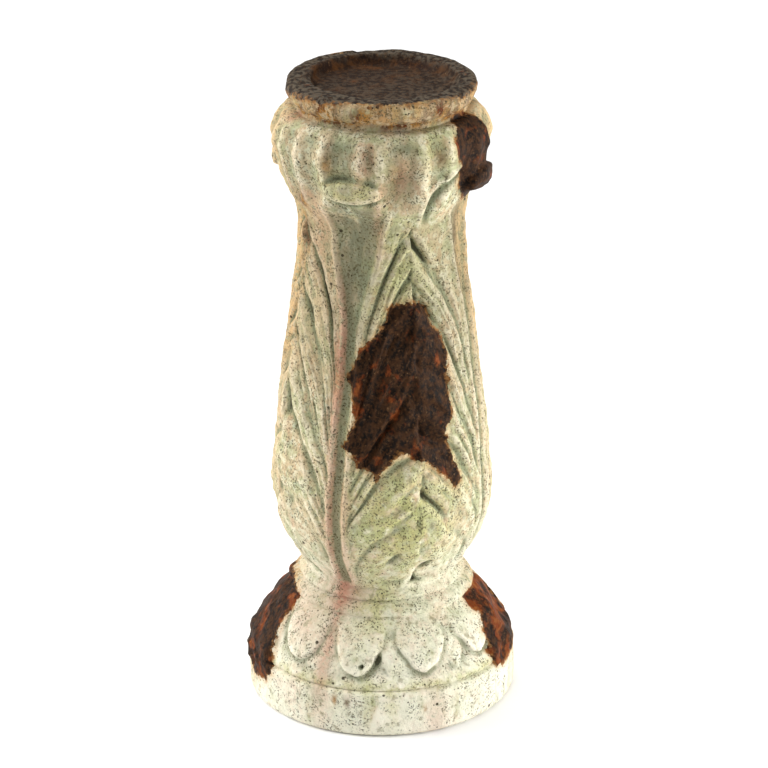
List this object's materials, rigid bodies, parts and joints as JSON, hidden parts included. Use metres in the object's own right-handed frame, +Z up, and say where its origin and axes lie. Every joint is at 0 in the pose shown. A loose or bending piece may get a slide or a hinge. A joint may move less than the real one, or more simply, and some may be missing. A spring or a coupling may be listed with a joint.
{
  "type": "stone baluster candle stand",
  "caption": "Leaf-carved cast stone baluster on a petalled round plinth, with a shallow dish in its top. It stands alone and carries a candle or ball.",
  "frame": {"origin": "centre of the underside of the plinth", "axes": "+Z up along the turned axis, -Y towards the front with the stem and the leaf join that the picture shows"},
  "size_m": [0.1336, 0.1336, 0.32],
  "materials": {
    "stone": "rough cast stone with a pale lime coat, worn to a dark rust-brown crust in patches"
  },
  "bodies": {
    "root": {"baluster": "stone"}
  },
  "joints": []
}
